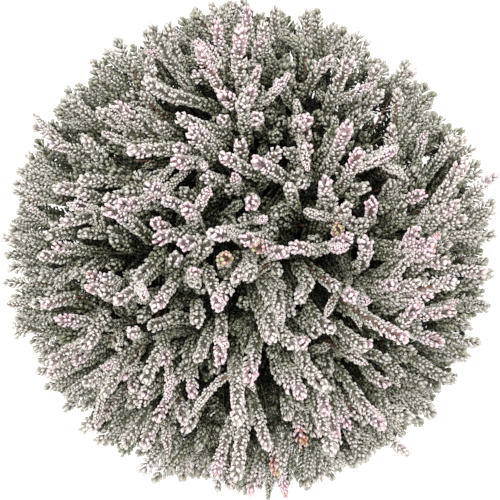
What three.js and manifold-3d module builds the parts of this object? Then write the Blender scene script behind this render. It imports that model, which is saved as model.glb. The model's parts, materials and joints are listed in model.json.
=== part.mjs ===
// A potted heather: woody stems that stand in compost in a plain round pot, and carry leafy shoots with
// scale leaves in four rows. Millimetres, +Z up, origin at the centre of the pot's flat underside.

import * as THREE from 'three';
import { mergeVertices } from 'three/addons/utils/BufferGeometryUtils.js';
import Module from 'manifold-3d';

const wasm = await Module();
wasm.setup();

const CLEARANCE = 0.3;

// Pot
const POT_HEIGHT = 90;
const POT_TOP_RADIUS = 55;
const POT_BASE_RADIUS = 39;
const POT_WALL = 1.6;
const POT_FLOOR = 2.4;
const POT_SIDES = 28;
const BAND_HEIGHT = 12;
const BAND_STEP = 1.8;
const EDGE_ROUND = 0.7;
const DRAIN_COUNT = 6;
const DRAIN_RADIUS = 4;
const DRAIN_RING = 26;
const DRAIN_SIDES = 8;

// Compost
const SOIL_TOP = 79;
const SOIL_RINGS = 3;
const CRUMB_HEIGHT = 1.2;
const CRUMB_PITCH = 0.55;
const CRUMB_BEND = 1.3;
const CRUMB_BEND_PITCH = 0.4;

// Stems in the compost
const STEM_COUNT = 36;
const ROOT_SPREAD = 35;
const ROOT_DEPTH = 26;
const STEM_START = SOIL_TOP + 4;
const STEM_RADIUS = 1.5;
const HOLE_RADIUS = 2.4;
const HOLE_SIDES = 5;

// Crown: the dome that the shoot tips reach
const SHOOT_COUNT = 150;
const CROWN_RADIUS = 75;
const CROWN_EDGE = 93;
const CROWN_HEIGHT = 75;
const FIRST_LEAN = 12;
const FIRST_RISE = 26;
const TIP_SHORTEST = 0.84;
const RIM_FROM = 0.85;
const RIM_LEAST = 74;
const RIM_MOST = 77;
const RIM_LONGEST = 1.16;
const RIM_STEP = 0.01;
const SLIMMEST = 0.86;
const PLUMPEST = 1.06;
const GOLDEN_ANGLE = Math.PI * (3 - Math.sqrt(5));
const SEED = 5;

// Sway of the shoots to either side
const SWAY = 12;
const SWAY_FULL_HEIGHT = 60;
const SWAY_ACROSS = 0.08;
const SWAY_UP = 0.05;

// Side shoots leave their stem between these shares of the way up, and are clear of it after PARTING
const FORK_LOWEST = 0.08;
const FORK_HIGHEST = 0.3;
const PARTING = 0.32;

// Scale leaves, larger than life, in pairs at each level; shares are of the leafy length or of a level
const LEAVES_START = 0.4;
const LEAF_LEVEL = 5.05;
const LEAF_REACH = 2.6;
const LEAF_FORWARD = 0.55;
const TIP_LENGTH = 0.85;
const FULL_AT_START = 0.72;
const FULL_AT_TIP = 0.62;
const TIP_NARROWING = 2.4;
const CORE_RADIUS = 1.3;
const TWIG_RADIUS = 0.95;
const TWIG_RINGS = 2;
const STEM_RINGS = 4;

// A repeatable draw from 0 to 1 for a numbered item and a numbered use.
function draw(item, use) {
  const wave = Math.sin(item * 127.1 + use * 311.7 + SEED) * 43758.5453;
  return wave - Math.floor(wave);
}

// The place of one of count evenly spread items in a disc of radius 1.
function discPlace(index, count) {
  const out = Math.sqrt((index + 0.5) / count);
  const turn = index * GOLDEN_ANGLE;
  return new THREE.Vector2(out * Math.cos(turn), out * Math.sin(turn));
}

// Where the growth line that starts at a disc place has come to, from 0 at the compost to 1 at the crown.
// The lines fan out without meeting, and the sway shifts each level without letting them meet.
function growthPoint(place, way) {
  const outSquared = place.lengthSq();
  const start = (1 - way) * (1 - way);
  const middle = 2 * way * (1 - way);
  const end = way * way;
  const spread = start * ROOT_SPREAD
    + middle * (ROOT_SPREAD + FIRST_LEAN)
    + end * CROWN_RADIUS * Math.sqrt(2 - outSquared);
  const height = start * STEM_START
    + middle * (STEM_START + FIRST_RISE)
    + end * (CROWN_EDGE + CROWN_HEIGHT * (1 - outSquared));
  const sway = SWAY * THREE.MathUtils.smoothstep(height - STEM_START, 0, SWAY_FULL_HEIGHT);
  const x = place.x * spread + sway * Math.sin(SWAY_ACROSS * place.y * spread + SWAY_UP * height);
  const y = place.y * spread + sway * Math.cos(SWAY_ACROSS * x + SWAY_UP * height);
  return new THREE.Vector3(x, y, height);
}

// The middle line of a leafy shoot. It follows its stem's line up to the fork, then parts from it.
class ShootCurve extends THREE.Curve {
  constructor(stem, shoot) {
    super();
    this.stem = stem;
    this.shoot = shoot;
  }

  getPoint(share) {
    const way = THREE.MathUtils.lerp(this.shoot.start, this.shoot.end, share);
    const mainPlace = partedPlace(this.stem.place, this.stem.leader, way);
    return growthPoint(partedPlace(mainPlace, this.shoot, way), way);
  }
}

// A place that leaves another quickly at the shoot's fork and then settles at the shoot's own place.
function partedPlace(from, shoot, way) {
  const share = THREE.MathUtils.clamp((way - shoot.fork) / PARTING, 0, 1);
  return from.clone().lerp(shoot.place, share * (2 - share));
}

// How far a shoot grows. Those round the crown's edge go on until they stand out to a drawn radius.
function shootEnd(place, index) {
  if (place.length() < RIM_FROM) {
    return THREE.MathUtils.lerp(TIP_SHORTEST, 1, draw(index, 2));
  }
  const radius = THREE.MathUtils.lerp(RIM_LEAST, RIM_MOST, draw(index, 2));
  let way = TIP_SHORTEST;
  while (way < RIM_LONGEST) {
    const tip = growthPoint(place, way);
    if (Math.hypot(tip.x, tip.y) > radius) break;
    way += RIM_STEP;
  }
  return way;
}

// Every stem with its shoots: each shoot grows from the stem whose place is nearest, and the nearest
// shoot of a stem is its leader.
function planStems() {
  const stems = [];
  for (let index = 0; index < STEM_COUNT; index += 1) {
    stems.push({ place: discPlace(index, STEM_COUNT), shoots: [] });
  }
  for (let index = 0; index < SHOOT_COUNT; index += 1) {
    const place = discPlace(index, SHOOT_COUNT);
    const distance = (stem) => stem.place.distanceTo(place);
    const owner = stems.reduce((best, stem) => (distance(stem) < distance(best) ? stem : best));
    const fork = THREE.MathUtils.lerp(FORK_LOWEST, FORK_HIGHEST, draw(index, 1));
    const end = shootEnd(place, index);
    const size = THREE.MathUtils.lerp(SLIMMEST, PLUMPEST, draw(index, 3));
    owner.shoots.push({ place, fork, start: fork, end, size });
  }
  for (const stem of stems) {
    const distance = (shoot) => stem.place.distanceTo(shoot.place);
    stem.leader = stem.shoots.reduce((best, shoot) => (distance(shoot) < distance(best) ? shoot : best));
    stem.leader.fork = FORK_LOWEST;
    stem.leader.start = 0;
  }
  return stems;
}

// How full the leaves are along the leafy part, from 0 at its start to 1 at the tip.
function leafFullness(share) {
  return Math.min(1, FULL_AT_START + share, FULL_AT_TIP + TIP_NARROWING * (1 - share));
}

// Frames across a curve at the given distances along it, turned as little as possible from one to the next.
function framesAlong(curve, distances) {
  const total = curve.getLength();
  let side = new THREE.Vector3(1, 0, 0);
  return distances.map((distance) => {
    const centre = curve.getPointAt(distance / total);
    const ahead = curve.getTangentAt(distance / total);
    side = side.clone().addScaledVector(ahead, -side.dot(ahead)).normalize();
    return { centre, ahead, side, across: new THREE.Vector3().crossVectors(ahead, side) };
  });
}

// Four points round a frame. A point with an even sum of level and rank is a leaf tip.
function ringPoints(frame, level, tip, valley) {
  return [0, 1, 2, 3].map((rank) => {
    const isTip = (level + rank) % 2 === 0;
    const reach = isTip ? tip.radius : valley;
    const angle = rank * Math.PI / 2;
    return frame.centre.clone()
      .addScaledVector(frame.side, reach * Math.cos(angle))
      .addScaledVector(frame.across, reach * Math.sin(angle))
      .addScaledVector(frame.ahead, isTip ? tip.forward : 0);
  });
}

// A closed solid through rings of four points, with a flat start and a pointed end. Each leaf tip is the
// peak of four triangles, because every quad is split between its two valleys.
function loftSolid(rings, peak) {
  const points = rings.flat().concat(peak);
  const faces = [[0, 2, 1], [0, 3, 2]];
  for (let level = 0; level + 1 < rings.length; level += 1) {
    for (let rank = 0; rank < 4; rank += 1) {
      const here = level * 4 + rank;
      const next = level * 4 + (rank + 1) % 4;
      if ((level + rank) % 2 === 0) {
        faces.push([here, next, here + 4], [next, next + 4, here + 4]);
      } else {
        faces.push([here, next, next + 4], [here, next + 4, here + 4]);
      }
    }
  }
  const last = (rings.length - 1) * 4;
  for (let rank = 0; rank < 4; rank += 1) {
    faces.push([last + rank, last + (rank + 1) % 4, last + 4]);
  }
  return new wasm.Manifold(new wasm.Mesh({
    numProp: 3,
    vertProperties: new Float32Array(points.flatMap((point) => point.toArray())),
    triVerts: new Uint32Array(faces.flat()),
  }));
}

// One shoot: a bare lower length, then levels of scale leaves up to a blunt tip. The leader's bare length
// is the stem itself, and goes down into the compost.
function shootSolid(stem, shoot) {
  const isLeader = shoot === stem.leader;
  const curve = new ShootCurve(stem, shoot);
  const total = curve.getLength();
  const leavesAt = Math.max(LEAVES_START, shoot.fork + PARTING / 3) - shoot.start;
  const bareLength = total * leavesAt / (shoot.end - shoot.start);
  const levels = Math.round((total - bareLength) / LEAF_LEVEL);
  const bareRings = isLeader ? STEM_RINGS : TWIG_RINGS;
  const distances = [];
  for (let ring = 0; ring < bareRings; ring += 1) {
    distances.push(bareLength * ring / bareRings);
  }
  for (let level = 0; level < levels; level += 1) {
    distances.push(bareLength + (total - bareLength) * level / levels);
  }
  const frames = framesAlong(curve, distances);
  const rings = [];
  if (isLeader) {
    const foot = {
      centre: frames[0].centre.clone().setZ(SOIL_TOP - ROOT_DEPTH),
      ahead: new THREE.Vector3(0, 0, 1),
      side: new THREE.Vector3(1, 0, 0),
      across: new THREE.Vector3(0, 1, 0),
    };
    rings.push(ringPoints(foot, 0, { radius: STEM_RADIUS, forward: 0 }, STEM_RADIUS));
  }
  frames.forEach((frame, index) => {
    const level = rings.length;
    if (index < bareRings) {
      const thick = isLeader ? STEM_RADIUS : TWIG_RADIUS;
      const radius = THREE.MathUtils.lerp(thick, TWIG_RADIUS, index / bareRings);
      rings.push(ringPoints(frame, level, { radius, forward: 0 }, radius));
      return;
    }
    const full = leafFullness((index - bareRings) / levels) * shoot.size;
    const tip = { radius: LEAF_REACH * full, forward: LEAF_LEVEL * LEAF_FORWARD };
    rings.push(ringPoints(frame, level, tip, CORE_RADIUS * full));
  });
  const lastFrame = frames[frames.length - 1];
  const peak = lastFrame.centre.clone().addScaledVector(lastFrame.ahead, LEAF_LEVEL * TIP_LENGTH);
  return loftSolid(rings, peak);
}

// A closed three.js geometry as a solid, and back.
function toSolid(geometry) {
  geometry.deleteAttribute('normal');
  geometry.deleteAttribute('uv');
  const merged = mergeVertices(geometry, 1e-3);
  return new wasm.Manifold(new wasm.Mesh({
    numProp: 3,
    vertProperties: merged.attributes.position.array,
    triVerts: new Uint32Array(merged.index.array),
  }));
}

function toGeometry(solid) {
  const mesh = solid.getMesh();
  const geometry = new THREE.BufferGeometry();
  geometry.setAttribute('position', new THREE.BufferAttribute(mesh.vertProperties, mesh.numProp));
  geometry.setIndex(new THREE.BufferAttribute(mesh.triVerts, 1));
  geometry.computeVertexNormals();
  return geometry;
}

// A turned body from a profile of radius and height pairs.
function turnedGeometry(profile) {
  const points = profile.map(([radius, height]) => new THREE.Vector2(radius, height));
  return new THREE.LatheGeometry(points, POT_SIDES).rotateX(Math.PI / 2);
}

// An upright prism from one height to another.
function uprightPrism(radius, sides, place, bottom, top) {
  const geometry = new THREE.CylinderGeometry(radius, radius, top - bottom, sides);
  geometry.rotateX(Math.PI / 2);
  geometry.translate(place.x, place.y, (bottom + top) / 2);
  return toSolid(geometry);
}

// The radius of the pot's outer wall below the rim band.
function wallRadius(height) {
  const wallTop = POT_TOP_RADIUS - BAND_STEP;
  return THREE.MathUtils.lerp(POT_BASE_RADIUS, wallTop, height / POT_HEIGHT);
}

function buildPot() {
  const bandFoot = POT_HEIGHT - BAND_HEIGHT;
  const innerTop = wallRadius(POT_HEIGHT) - POT_WALL;
  const profile = [
    [0, 0],
    [POT_BASE_RADIUS - EDGE_ROUND, 0],
    [wallRadius(EDGE_ROUND), EDGE_ROUND],
    [wallRadius(bandFoot), bandFoot],
    [wallRadius(bandFoot) + BAND_STEP, bandFoot + EDGE_ROUND],
    [POT_TOP_RADIUS, POT_HEIGHT - EDGE_ROUND],
    [POT_TOP_RADIUS - EDGE_ROUND, POT_HEIGHT],
    [innerTop + EDGE_ROUND, POT_HEIGHT],
    [innerTop, POT_HEIGHT - EDGE_ROUND],
    [wallRadius(POT_FLOOR) - POT_WALL, POT_FLOOR],
    [0, POT_FLOOR],
  ];
  let pot = toSolid(turnedGeometry(profile));
  for (let index = 0; index < DRAIN_COUNT; index += 1) {
    const angle = (index + 0.5) * 2 * Math.PI / DRAIN_COUNT;
    const place = new THREE.Vector2(Math.cos(angle), Math.sin(angle)).multiplyScalar(DRAIN_RING);
    pot = pot.subtract(uprightPrism(DRAIN_RADIUS, DRAIN_SIDES, place, -1, POT_FLOOR + 1));
  }
  return toGeometry(pot);
}

// The height of the crumbly compost surface above its mean level.
function crumbs(x, y) {
  const bend = CRUMB_BEND * Math.sin(CRUMB_BEND_PITCH * y);
  return CRUMB_HEIGHT * Math.sin(CRUMB_PITCH * x + bend) * Math.sin(CRUMB_PITCH * y);
}

function buildSoil(stems) {
  const floor = POT_FLOOR + CLEARANCE;
  const edge = wallRadius(SOIL_TOP) - POT_WALL - CLEARANCE;
  const profile = [[0, floor], [wallRadius(floor) - POT_WALL - CLEARANCE, floor]];
  for (let ring = 0; ring < SOIL_RINGS; ring += 1) {
    profile.push([edge * (1 - ring / SOIL_RINGS), SOIL_TOP]);
  }
  profile.push([0, SOIL_TOP]);
  const geometry = turnedGeometry(profile);
  const position = geometry.attributes.position;
  for (let index = 0; index < position.count; index += 1) {
    const x = position.getX(index);
    const y = position.getY(index);
    if (position.getZ(index) > SOIL_TOP - 1 && Math.hypot(x, y) < edge - 1) {
      position.setZ(index, SOIL_TOP + crumbs(x, y));
    }
  }
  let soil = toSolid(geometry);
  for (const stem of stems) {
    const foot = growthPoint(stem.place, 0);
    const bottom = SOIL_TOP - ROOT_DEPTH - CLEARANCE;
    soil = soil.subtract(uprightPrism(HOLE_RADIUS, HOLE_SIDES, foot, bottom, STEM_START));
  }
  return toGeometry(soil);
}

// One branch: a stem with all of its leafy shoots, fused. Hollows and scraps that fusing leaves are dropped.
function buildBranch(stem) {
  const solids = stem.shoots.map((shoot) => shootSolid(stem, shoot));
  const bodies = solids.reduce((whole, solid) => whole.add(solid)).decompose();
  return toGeometry(bodies.reduce((main, body) => (body.volume() > main.volume() ? body : main)));
}

const potPlastic = new THREE.MeshStandardMaterial({ color: 0x5c3d35, roughness: 0.6, metalness: 0 });
const compost = new THREE.MeshStandardMaterial({ color: 0x2c2422, roughness: 1, metalness: 0 });
const foliage = new THREE.MeshStandardMaterial({ color: 0xb4b2a8, roughness: 0.85, metalness: 0 });

function addNode(parent, name, geometry, material) {
  const mesh = new THREE.Mesh(geometry, material);
  mesh.name = name;
  parent.add(mesh);
}

const pottedHeather = new THREE.Group();
const stems = planStems();
addNode(pottedHeather, 'pot', buildPot(), potPlastic);
addNode(pottedHeather, 'soil', buildSoil(stems), compost);
stems.forEach((stem, index) => {
  addNode(pottedHeather, `branch_${String(index + 1).padStart(2, '0')}`, buildBranch(stem), foliage);
});

export default pottedHeather;
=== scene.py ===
"""A potted heather seen from above: leafy shoots with scale leaves in four rows, woody stems, compost in a
plain pot, and a pale stage. Everything is grown by rule over the frame's plain solids, in metres."""

import json
import math

import bmesh
import bpy
import numpy as np
from bpy.props import FloatProperty, FloatVectorProperty, IntProperty, PointerProperty
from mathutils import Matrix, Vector

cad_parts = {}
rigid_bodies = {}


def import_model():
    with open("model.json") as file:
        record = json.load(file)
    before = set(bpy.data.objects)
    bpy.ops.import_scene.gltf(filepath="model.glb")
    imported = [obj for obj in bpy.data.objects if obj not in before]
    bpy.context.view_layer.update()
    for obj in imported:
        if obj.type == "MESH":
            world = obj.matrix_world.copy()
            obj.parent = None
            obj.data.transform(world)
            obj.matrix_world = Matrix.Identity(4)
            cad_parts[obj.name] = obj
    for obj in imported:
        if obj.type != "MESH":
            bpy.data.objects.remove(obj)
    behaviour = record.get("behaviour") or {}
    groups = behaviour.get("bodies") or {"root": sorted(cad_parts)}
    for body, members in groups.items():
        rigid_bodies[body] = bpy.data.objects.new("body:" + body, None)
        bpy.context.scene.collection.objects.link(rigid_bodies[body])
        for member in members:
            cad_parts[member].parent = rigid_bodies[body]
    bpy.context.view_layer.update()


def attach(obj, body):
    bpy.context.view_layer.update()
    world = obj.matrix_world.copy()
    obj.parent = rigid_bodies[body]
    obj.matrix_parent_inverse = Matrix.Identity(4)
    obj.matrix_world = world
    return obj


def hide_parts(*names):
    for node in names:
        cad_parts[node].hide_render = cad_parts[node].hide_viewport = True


bl_info = {
    "name": "Potted heather",
    "version": (1, 0, 0),
    "blender": (4, 5, 0),
    "location": "3D View > Sidebar > Heather",
    "description": "Grows the leaves, stems, compost and pot of a heather over its plain solids",
    "category": "Add Mesh",
}

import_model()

MM = 0.001
BAKE_MAP = "OFBake"
GROWING_VALUES = ("along", "across", "shade", "tone", "age", "grain", "round", "thick", "pace", "fullness",
                  "lean", "density", "twist")

# Pot, in millimetres, as in the solids
POT_HEIGHT = 90
POT_TOP_RADIUS = 55
POT_BASE_RADIUS = 39
POT_WALL = 1.6
POT_FLOOR = 2.4
BAND_HEIGHT = 12
BAND_STEP = 1.8
DRAIN_COUNT = 6
DRAIN_RADIUS = 4
DRAIN_RING = 26
DRAIN_SEGMENTS = 24
POT_CORNER_RADII = (0, 1.2, 0.6, 0.6, 0.9, 0.7, 2.0)
POT_BASE_FLAT = 5
POT_SEGMENTS = 128
SHARP_EDGE = math.radians(35)

# Compost, in millimetres
SOIL_TOP = 79
SOIL_GAP = 0.3
SOIL_SEGMENTS = 96
SOIL_RINGS = 30
SOIL_TOP_DEPTH = 1
SOIL_EDGE_FADE = 3.0
CRUMB_HEIGHT = 1.2
CRUMB_PITCH = 0.55
CRUMB_BEND = 1.3
CRUMB_BEND_PITCH = 0.4
GRAIN_HEIGHT = 0.3
GRAIN_PITCH_X = 1.9
GRAIN_PITCH_Y = 2.3
GRAIN_BEND = 1.1
GRAIN_BEND_PITCH_X = 1.7
GRAIN_BEND_PITCH_Y = 1.3

# Loose crumbs: their sizes in millimetres, and their shapes in shares of their size
CRUMBS_PER_SQUARE_METRE = 50000.0
SMALLEST_CRUMB = 0.7
LARGEST_CRUMB = 3.4
SMALL_CRUMB_BIAS = 3
CRUMB_LAND_DEPTH = 2
CRUMB_SEED = 3
CRUMB_KINDS = 4
CRUMB_DRAWS = 20
CRUMB_SIZES = (0.7, 1.25)
CRUMB_DEPTH = 0.8
CRUMB_DEPTH_MORE = 0.2
CRUMB_RISE = 0.55
CRUMB_RISE_MORE = 0.3
CRUMB_REACH = 0.7
CRUMB_SHADES = (0.05, 0.92)

# Stems, in millimetres and in shares of the way from the compost to the crown
STEM_COUNT = 36
ROOT_SPREAD = 35
ROOT_DEPTH = 26
STEM_START = SOIL_TOP + 4
STEM_STEP = 5
STEM_SIDES = 5
STEM_RADIUS = 1.5
TWIG_RADIUS = 0.95
TWIG_TOP_RADIUS = 0.55
CORE_RADIUS = 0.42
SIDE_CORE_RADIUS = 0.3
CORE_TIP_RADIUS = 0.25
STEM_STEPS_LEAST = 3
CORE_EVERY = 4
SIDE_CORE_EVERY = 3
FORK_LOWEST = 0.08
FORK_HIGHEST = 0.3
PARTING = 0.32

# Age of the bark, from 0, old, to 1, green
OLD_WOOD = 0.05
YOUNG_WOOD = 0.45
PINK_CORE = (0.74, 0.8)
GREEN_CORE = (0.95, 0.95)
SIDE_CORE = (0.72, 0.95)
PINK_CORE_SHARE = 0.12

# Crown, in millimetres
SHOOT_COUNT = 150
CROWN_RADIUS = 75
CROWN_EDGE = 93
CROWN_HEIGHT = 75
FIRST_LEAN = 12
FIRST_RISE = 26
TIP_SHORTEST = 0.84
RIM_FROM = 0.85
RIM_LEAST = 74
RIM_MOST = 77
RIM_LONGEST = 1.16
RIM_STEP = 0.01
SLIMMEST = 0.86
PLUMPEST = 1.06
GOLDEN_ANGLE = math.pi * (3 - math.sqrt(5))
SWAY = 12
SWAY_FULL_HEIGHT = 60
SWAY_ACROSS = 0.08
SWAY_UP = 0.05
PATH_POINTS = 60

# The repeatable draws
SEED = 5
DRAW_BY_ITEM = 127.1
DRAW_BY_USE = 311.7
DRAW_SCALE = 43758.5453

# Fill shoots between the main ones, and rim shoots round the crown's edge
FILL_COUNT = 420
FILL_AREA = 0.84
FILL_APART = 0.03
FILL_SHORTEST = 0.7
FILL_LONGEST = 1.0
FILL_MOST = 70
FILL_SWAY = 0.4
FILL_CALMING = 0.4
RIM_COUNT = 270
RIM_APART = 0.03
RIM_TURN_SCATTER = 0.6
RIM_PLACE_LEAST = 0.8
RIM_PLACE_MOST = 1.04
RIM_FILL_SHORTEST = 0.88
RIM_FILL_LONGEST = 1.0
RIM_FILL_LEAST = 71
RIM_FILL_BIAS = 0.6

# How an added shoot wanders to the light, in millimetres and shares of its way
WANDER = 19
WANDER_MIDDLE = 45
WANDER_MIDDLE_MORE = 0.5
WANDER_START = 0.5
WANDER_FULL = 1.25
WANDER_TRIES = 12
LIT_SHARES = (0.8, 0.87, 0.94, 1.0)
LIT_LAST = 3

# Leafy length of a shoot, in shares of its way and in millimetres
LEAVES_START = 0.4
FILL_LEAVES_START = 0.56
RIM_LEAVES_START = 0.55
BARE_AFTER_FORK = PARTING / 3
LEAF_LINE_STEP = 1.5
LEAF_LINE_LEAST = 6
LAST_LEAF = 1.2
LEAF_SCALE = 1.08
FULL_AT_START = 0.72
TIP_LEAF_SIZE = 1.24
TIP_LENGTH = 5
CLOSED_LEAN = -0.72
OPEN_LEAN = 0.12
OPENING = (0.6, 3.2)
SPARSE_AT_START = 0.22
THICKENING = (0.05, 0.5)
TWIST_LEAST = 0.04
TWIST_MOST = 0.14

# Shape of a scale leaf, in millimetres and shares of its length
LEAF_BASE_OUT = 0.3
LEAF_BASE_DOWN = -0.2
LEAF_WIDEST = 0.7
LEAF_NEAR = 0.1
LEAF_OUT_BEND = 0.9
LEAF_RISE_BEND = 1.5
LEAF_KEEL = 0.6
LEAF_FACE = 0.4
AXIL_LEAF_SIZE = 0.86
AXIL_LEAF_SHARE = 0.7

# Side shoots, in millimetres, degrees and shares
SIDE_SHORTEST = 7
SIDE_LONGEST = 20
SIDE_STEP = 2
SIDE_STEPS_LEAST = 4
SIDE_LOOK_AHEAD = 1.0
SIDE_DRAWS = 7
SIDE_PLACES = (0.3, 0.88)
SIDE_SIZE = 0.82
SIDE_SIZES = (0.85, 1.12)
SIDE_LEANS = (-0.3, -0.05)
SIDE_TIP_LEAN = 0.3
SIDE_TIP = (0.75, 1)
SIDE_FULL_AT_START = 0.7
SIDE_FULL_AT_END = 0.6
SIDE_FILLING = 2
SIDE_OF_SHORT = 0.5
SIDE_PACE = 0.78
SIDE_TWIST = 0.01
SIDE_TONE = -0.02
SIDE_START = 0.8
SIDES_OF_MAIN = 2.4
SIDES_OF_FILL = 1.6
SIDE_ANGLE_LEAST = 34
SIDE_ANGLE_MOST = 62
SIDE_CURL = 0.14

# Painted light and shade in the crown: how much the leaves' tones darken for depth, low height, shoots above
# and the rim, in millimetres and shares of full light
LIT_DEPTH = 3
DARK_DEPTH_MIDDLE = 44
DARK_DEPTH_RIM = 19
LOW_HEIGHT = 84
HIGH_HEIGHT = 148
LOW_LIGHT = 0.5
LOW_TIP_LIGHT = 0.75
HIGH_LIGHT = 1.14
CANOPY_HALF = 90
CANOPY_STEP = 1.0
SHOOT_COVER = 2
SHADE_FROM = 3
SHADE_FULL = 15
SHADE_TONE = 0.3
LOW_TIP_REACH = (3, 18)
# Painted shade at the crown's rim: the share of tone that leaves keep there, and the radii over which it
# falls.
RIM_PAINTED_SHADE = 0.87
RIM_PAINTED_SHADE_REACH = (50, 74)

# Tones of the leaves, as places in the palette
# The tone of a leaf in full painted shade, near the near-black stop: partly dead leaves inside the plant,
# partly painted shade for the deep gaps.
SHADED_WITHERED_TONE = 0.06
LIT_TONE = 0.4
FRESH_TONE = 0.14
TONE_SPREAD = 0.14
BLUSH_TONE = 0.15
PINKEST = 0.79
BRIGHT_TONE = 0.15
BRIGHT_TIPS = 0.035
FRESH_REACH = (6, 36)
PINK_REACH = (2, 12)
BLUSHING = (0.05, 0.6)

# Places in the pieces' own maps, which run from 0 to 1
MAP_LEAST = 0.02
MAP_MOST = 0.98
LEAF_MAP_MOST = 0.97
# Places along the leaf of its base, keel, edge, inner face, edge and tip: the keel stands paler than the
# edges and the inner face, partly the white down on it and partly a painted highlight.
LEAF_MAP_ALONG = (MAP_LEAST, 0.84, 0.68, 0.5, 0.68, MAP_MOST)
LEAF_MAP_ACROSS = (0.0, 0.0, 0.006, 0.0, -0.006, 0.0)
STEM_MAP_X = 0.03
STEM_MAP_Y = 0.02
STEM_MAP_AGE = 0.7
STEM_MAP_MIDDLE = 0.5
STEM_MAP_SWING = 0.4
STEM_RING_PITCH = 0.9
CRUMB_MAP_ACROSS = 0.02

# Stage, in metres
LAMP_PLACE = (-0.1, 0.16, 1.5)
LAMP_AIM = (0, 0, 0.12)
LAMP_SIZE = 0.55
FLOOR_HALF = 3


def mix(low, high, share):
    """The value at a share of the way from low to high."""
    return low + (high - low) * share


def smooth(value, low, high):
    """A smooth rise from 0 at low to 1 at high."""
    share = min(max((value - low) / (high - low), 0.0), 1.0)
    return share * share * (3 - 2 * share)


def draw(item, use):
    """A repeatable draw from 0 to 1 for a numbered item and a numbered use."""
    wave = math.sin(item * DRAW_BY_ITEM + use * DRAW_BY_USE + SEED) * DRAW_SCALE
    return wave - math.floor(wave)


def colour(red, green, blue):
    """A colour given in screen values from 0 to 255, as the linear colour that Blender uses."""
    shares = (red / 255, green / 255, blue / 255)
    return tuple(s / 12.92 if s <= 0.04045 else ((s + 0.055) / 1.055) ** 2.4 for s in shares) + (1.0,)


# Growth of the shoots


class Shoot:
    """One leafy shoot: the disc place it grows to, and the ways at which it forks, starts and ends."""

    def __init__(self, number, place, fork, end, size):
        self.number = number
        self.place = place
        self.fork = fork
        self.start = fork
        self.end = end
        self.size = size
        self.wander = np.zeros(2)
        self.is_added = number >= SHOOT_COUNT
        self.is_rim = number >= SHOOT_COUNT + FILL_COUNT


class Stem:
    """A stem in the compost, with the shoots that grow from it."""

    def __init__(self, place):
        self.place = place
        self.shoots = []
        self.leader = None


class Line:
    """A path of points in millimetres, with one list of values for each attribute that it carries."""

    def __init__(self, points, **values):
        self.points = points
        self.values = values


def flat_place(out, turn):
    """The place at a distance and a turn from the middle, seen from above."""
    return np.array((out * math.cos(turn), out * math.sin(turn)))


def disc_place(index, count):
    """The place of one of count evenly spread items in a disc of radius 1."""
    return flat_place(math.sqrt((index + 0.5) / count), index * GOLDEN_ANGLE)


def crown_place(index, count):
    """The disc place of one of count shoots whose ends are evenly spread over the crown, seen from above."""
    out = math.sqrt(1 - math.sqrt(1 - FILL_AREA * (index + 0.5) / count))
    return flat_place(out, index * GOLDEN_ANGLE)


def growth_point(place, way, swaying=1):
    """Where the growth line of a disc place has come to, from 0 at the compost to 1 at the crown."""
    out_squared = float(place @ place)
    start = (1 - way) ** 2
    middle = 2 * way * (1 - way)
    end = way ** 2
    reach = CROWN_RADIUS * math.sqrt(2 - out_squared)
    spread = start * ROOT_SPREAD + middle * (ROOT_SPREAD + FIRST_LEAN) + end * reach
    top = CROWN_EDGE + CROWN_HEIGHT * (1 - out_squared)
    height = start * STEM_START + middle * (STEM_START + FIRST_RISE) + end * top
    sway = SWAY * smooth(height - STEM_START, 0, SWAY_FULL_HEIGHT) * swaying
    x = place[0] * spread + sway * math.sin(SWAY_ACROSS * place[1] * spread + SWAY_UP * height)
    y = place[1] * spread + sway * math.cos(SWAY_ACROSS * x + SWAY_UP * height)
    return np.array((x, y, height))


def parted_place(origin, shoot, way):
    """A place that leaves another quickly at the shoot's fork and then settles at the shoot's own place."""
    share = min(max((way - shoot.fork) / PARTING, 0.0), 1.0)
    return mix(origin, shoot.place, share * (2 - share))


def shoot_point(stem, shoot, share):
    """A point of a shoot's middle line, from its start at share 0 to its end at share 1."""
    way = mix(shoot.start, shoot.end, share)
    main_place = parted_place(stem.place, stem.leader, way)
    if not shoot.is_added:
        return growth_point(parted_place(main_place, shoot, way), way)
    swaying = mix(1, FILL_SWAY, smooth(way, shoot.fork, shoot.fork + FILL_CALMING))
    point = growth_point(parted_place(main_place, shoot, way), way, swaying)
    point[:2] += shoot.wander * wander_share(share)
    return point


def shoot_end(place, index):
    """How far a main shoot grows. Those at the crown's edge go on until they stand out to a drawn radius."""
    if math.hypot(place[0], place[1]) < RIM_FROM:
        return mix(TIP_SHORTEST, 1, draw(index, 2))
    radius = mix(RIM_LEAST, RIM_MOST, draw(index, 2))
    way = TIP_SHORTEST
    while way < RIM_LONGEST and np.linalg.norm(growth_point(place, way)[:2]) <= radius:
        way += RIM_STEP
    return way


def nearest_stem(stems, place):
    """The stem whose place is nearest to a disc place."""
    return min(stems, key=lambda stem: math.dist(stem.place, place))


def plan_stems():
    """Every stem with its main shoots, the same as in the solids, and then with the added shoots."""
    stems = [Stem(disc_place(index, STEM_COUNT)) for index in range(STEM_COUNT)]
    main_places = [disc_place(index, SHOOT_COUNT) for index in range(SHOOT_COUNT)]
    for index, place in enumerate(main_places):
        fork = mix(FORK_LOWEST, FORK_HIGHEST, draw(index, 1))
        end = shoot_end(place, index)
        size = mix(SLIMMEST, PLUMPEST, draw(index, 3))
        nearest_stem(stems, place).shoots.append(Shoot(index, place, fork, end, size))
    for stem in stems:
        stem.leader = min(stem.shoots, key=lambda shoot: math.dist(stem.place, shoot.place))
        stem.leader.fork = FORK_LOWEST
        stem.leader.start = 0
    add_fill(stems, main_places)
    return stems


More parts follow.
